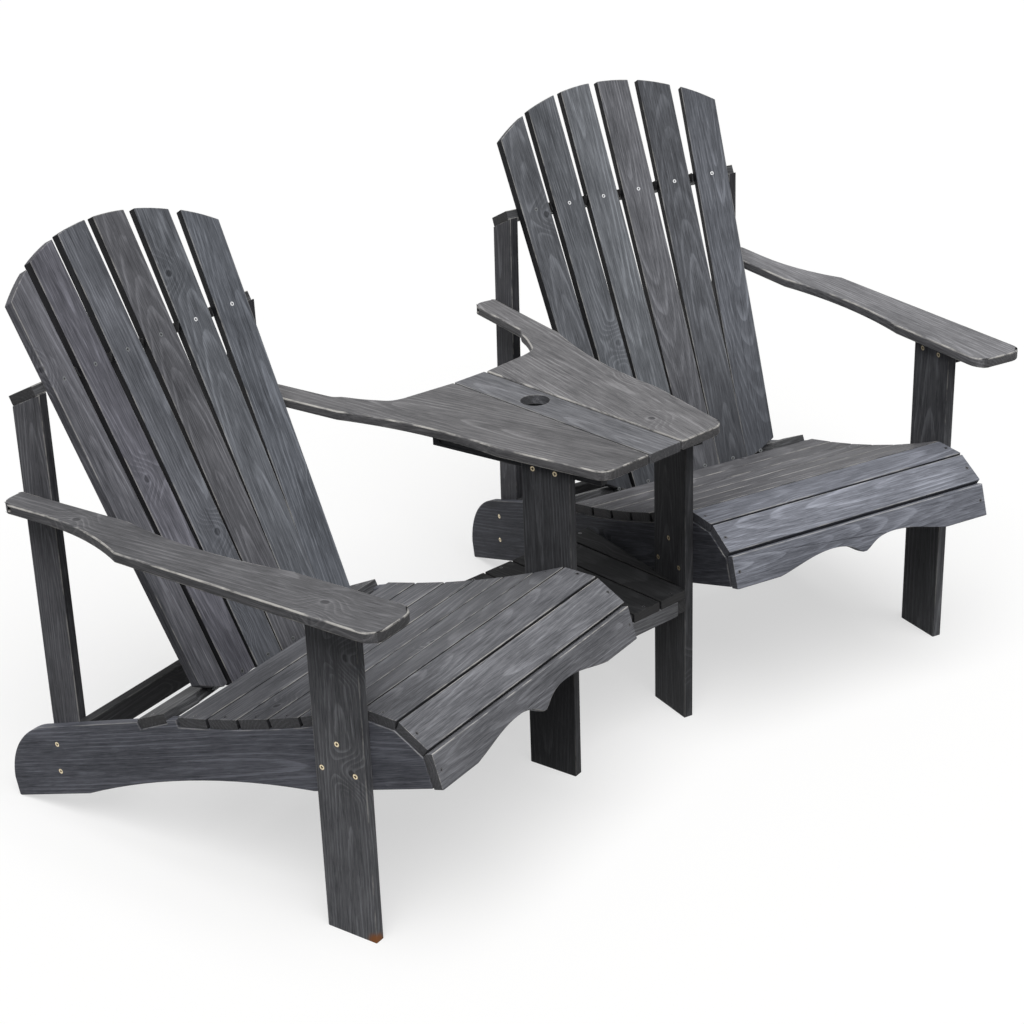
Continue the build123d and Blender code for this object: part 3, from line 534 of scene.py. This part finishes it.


# Screws
# Countersunk wood screws: yellow-plated ones in legs and rails, bright steel ones in the back slats and
# dark ones in the rest. The middle of each head is painted dark for the cross recess, and a painted
# shadow of the countersink runs round the head's edge.
def screw_middles():
    """A modifier tree that gives every point the mean position of its own screw, which is on the axis."""
    tree = bpy.data.node_groups.new("screw_middles", "GeometryNodeTree")
    tree.interface.new_socket("Screws", in_out="INPUT", socket_type="NodeSocketGeometry")
    tree.interface.new_socket("Screws", in_out="OUTPUT", socket_type="NodeSocketGeometry")
    screws_in, screws_out = tree.nodes.new("NodeGroupInput"), tree.nodes.new("NodeGroupOutput")
    island = tree.nodes.new("GeometryNodeInputMeshIsland")
    place = tree.nodes.new("GeometryNodeInputPosition")
    mean = tree.nodes.new("GeometryNodeFieldAverage")
    mean.data_type, mean.domain = "FLOAT_VECTOR", "POINT"
    kept = tree.nodes.new("GeometryNodeStoreNamedAttribute")
    kept.data_type, kept.domain = "FLOAT_VECTOR", "POINT"
    kept.inputs["Name"].default_value = "screw_middle"
    for start, finish in (
            (screws_in.outputs[0], kept.inputs["Geometry"]),
            (place.outputs["Position"], mean.inputs["Value"]),
            (island.outputs["Island Index"], mean.inputs["Group ID"]),
            (mean.outputs["Mean"], kept.inputs["Value"]),
            (kept.outputs["Geometry"], screws_out.inputs[0])):
        tree.links.new(start, finish)
    return tree


def screw_finish(name, head, bright, countersink_shadow, recess, zones):
    """Metal whose colour follows the distance from the screw's axis: recess, bright ring, painted shadow.

    The distance is the length of the cross product of the normal and the way from the screw's middle.
    A zone is the least and most X, the least and most Z, and the colour of the screws between them.
    """
    metal = Finish(name)
    spot = metal.add("TexCoord", output="Object")
    middle = metal.add("Attribute", {"attribute_name": "screw_middle"}, output="Vector")
    away = metal.add("VectorMath", {"operation": "SUBTRACT"}, {0: spot, 1: middle}, output="Vector")
    sideways = metal.add("VectorMath", {"operation": "CROSS_PRODUCT"}, {
        0: away, 1: metal.add("NewGeometry", output="Normal")}, output="Vector")
    off_axis = metal.add("VectorMath", {"operation": "LENGTH"}, {0: sideways}, output="Value")
    from_axis = off_axis / (head / 2)
    tarnish = metal.add("TexNoise", None, {"Vector": spot, "Scale": 900.0, "Detail": 2.0}) - 0.5
    colour = metal.blend(metal.between(from_axis + tarnish * 0.3, 0.80, 1.06), bright, countersink_shadow)
    across = metal.add("SeparateXYZ", None, {0: middle})
    up = metal.add("SeparateXYZ", None, {0: middle}, output=2)
    soft = 0.001
    for left, right, low, high, other in zones:
        inside = metal.between(across, left, left + soft) * metal.between(across, right, right - soft)
        inside = inside * metal.between(up, low, low + soft) * metal.between(up, high, high - soft)
        colour = metal.blend(inside, colour, other)
    hollow = metal.between(from_axis + tarnish * 0.15, 0.46, 0.34)
    colour = metal.blend(hollow, colour, recess)
    metal.surface(Base_Color=colour, Metallic=0.65 - hollow * 0.5, Roughness=0.32 + tarnish * 0.25)
    return metal.material


screw_middle_tree = screw_middles()
dull_steel, silver = (0.23, 0.24, 0.25, 1), (0.86, 0.87, 0.88, 1)
right_leg_top = (0.76, 1.0, 0.5, 0.6, silver)
left_back_outer = (-1.0, -0.47, 0.6, 1.0, dull_steel)
right_back_inner = (0.0, 0.38, 0.6, 1.0, dull_steel)
slat_feet = (-1.0, 1.0, 0.0, 0.4, dull_steel)
for name, head, bright, countersink_shadow, recess, zones in (
        ("brass_screws", 0.0090, (0.96, 0.84, 0.58, 1), (0.34, 0.19, 0.08, 1),
         (0.05, 0.022, 0.014, 1), (right_leg_top,)),
        ("steel_back_screws", 0.0075, (0.95, 0.96, 0.98, 1), (0.20, 0.21, 0.22, 1),
         (0.012, 0.012, 0.014, 1), (left_back_outer, right_back_inner, slat_feet)),
        ("dark_screws", 0.0065, (0.16, 0.16, 0.17, 1), (0.02, 0.02, 0.02, 1),
         (0.006, 0.006, 0.007, 1), ())):
    screws = nodes[name]
    screws.data.materials.clear()
    screws.data.materials.append(screw_finish("finish_" + name, head, bright, countersink_shadow, recess, zones))
    screws.modifiers.new("joined_corners", "WELD").merge_threshold = weld_distance
    screws.modifiers.new("screw_middles", "NODES").node_group = screw_middle_tree
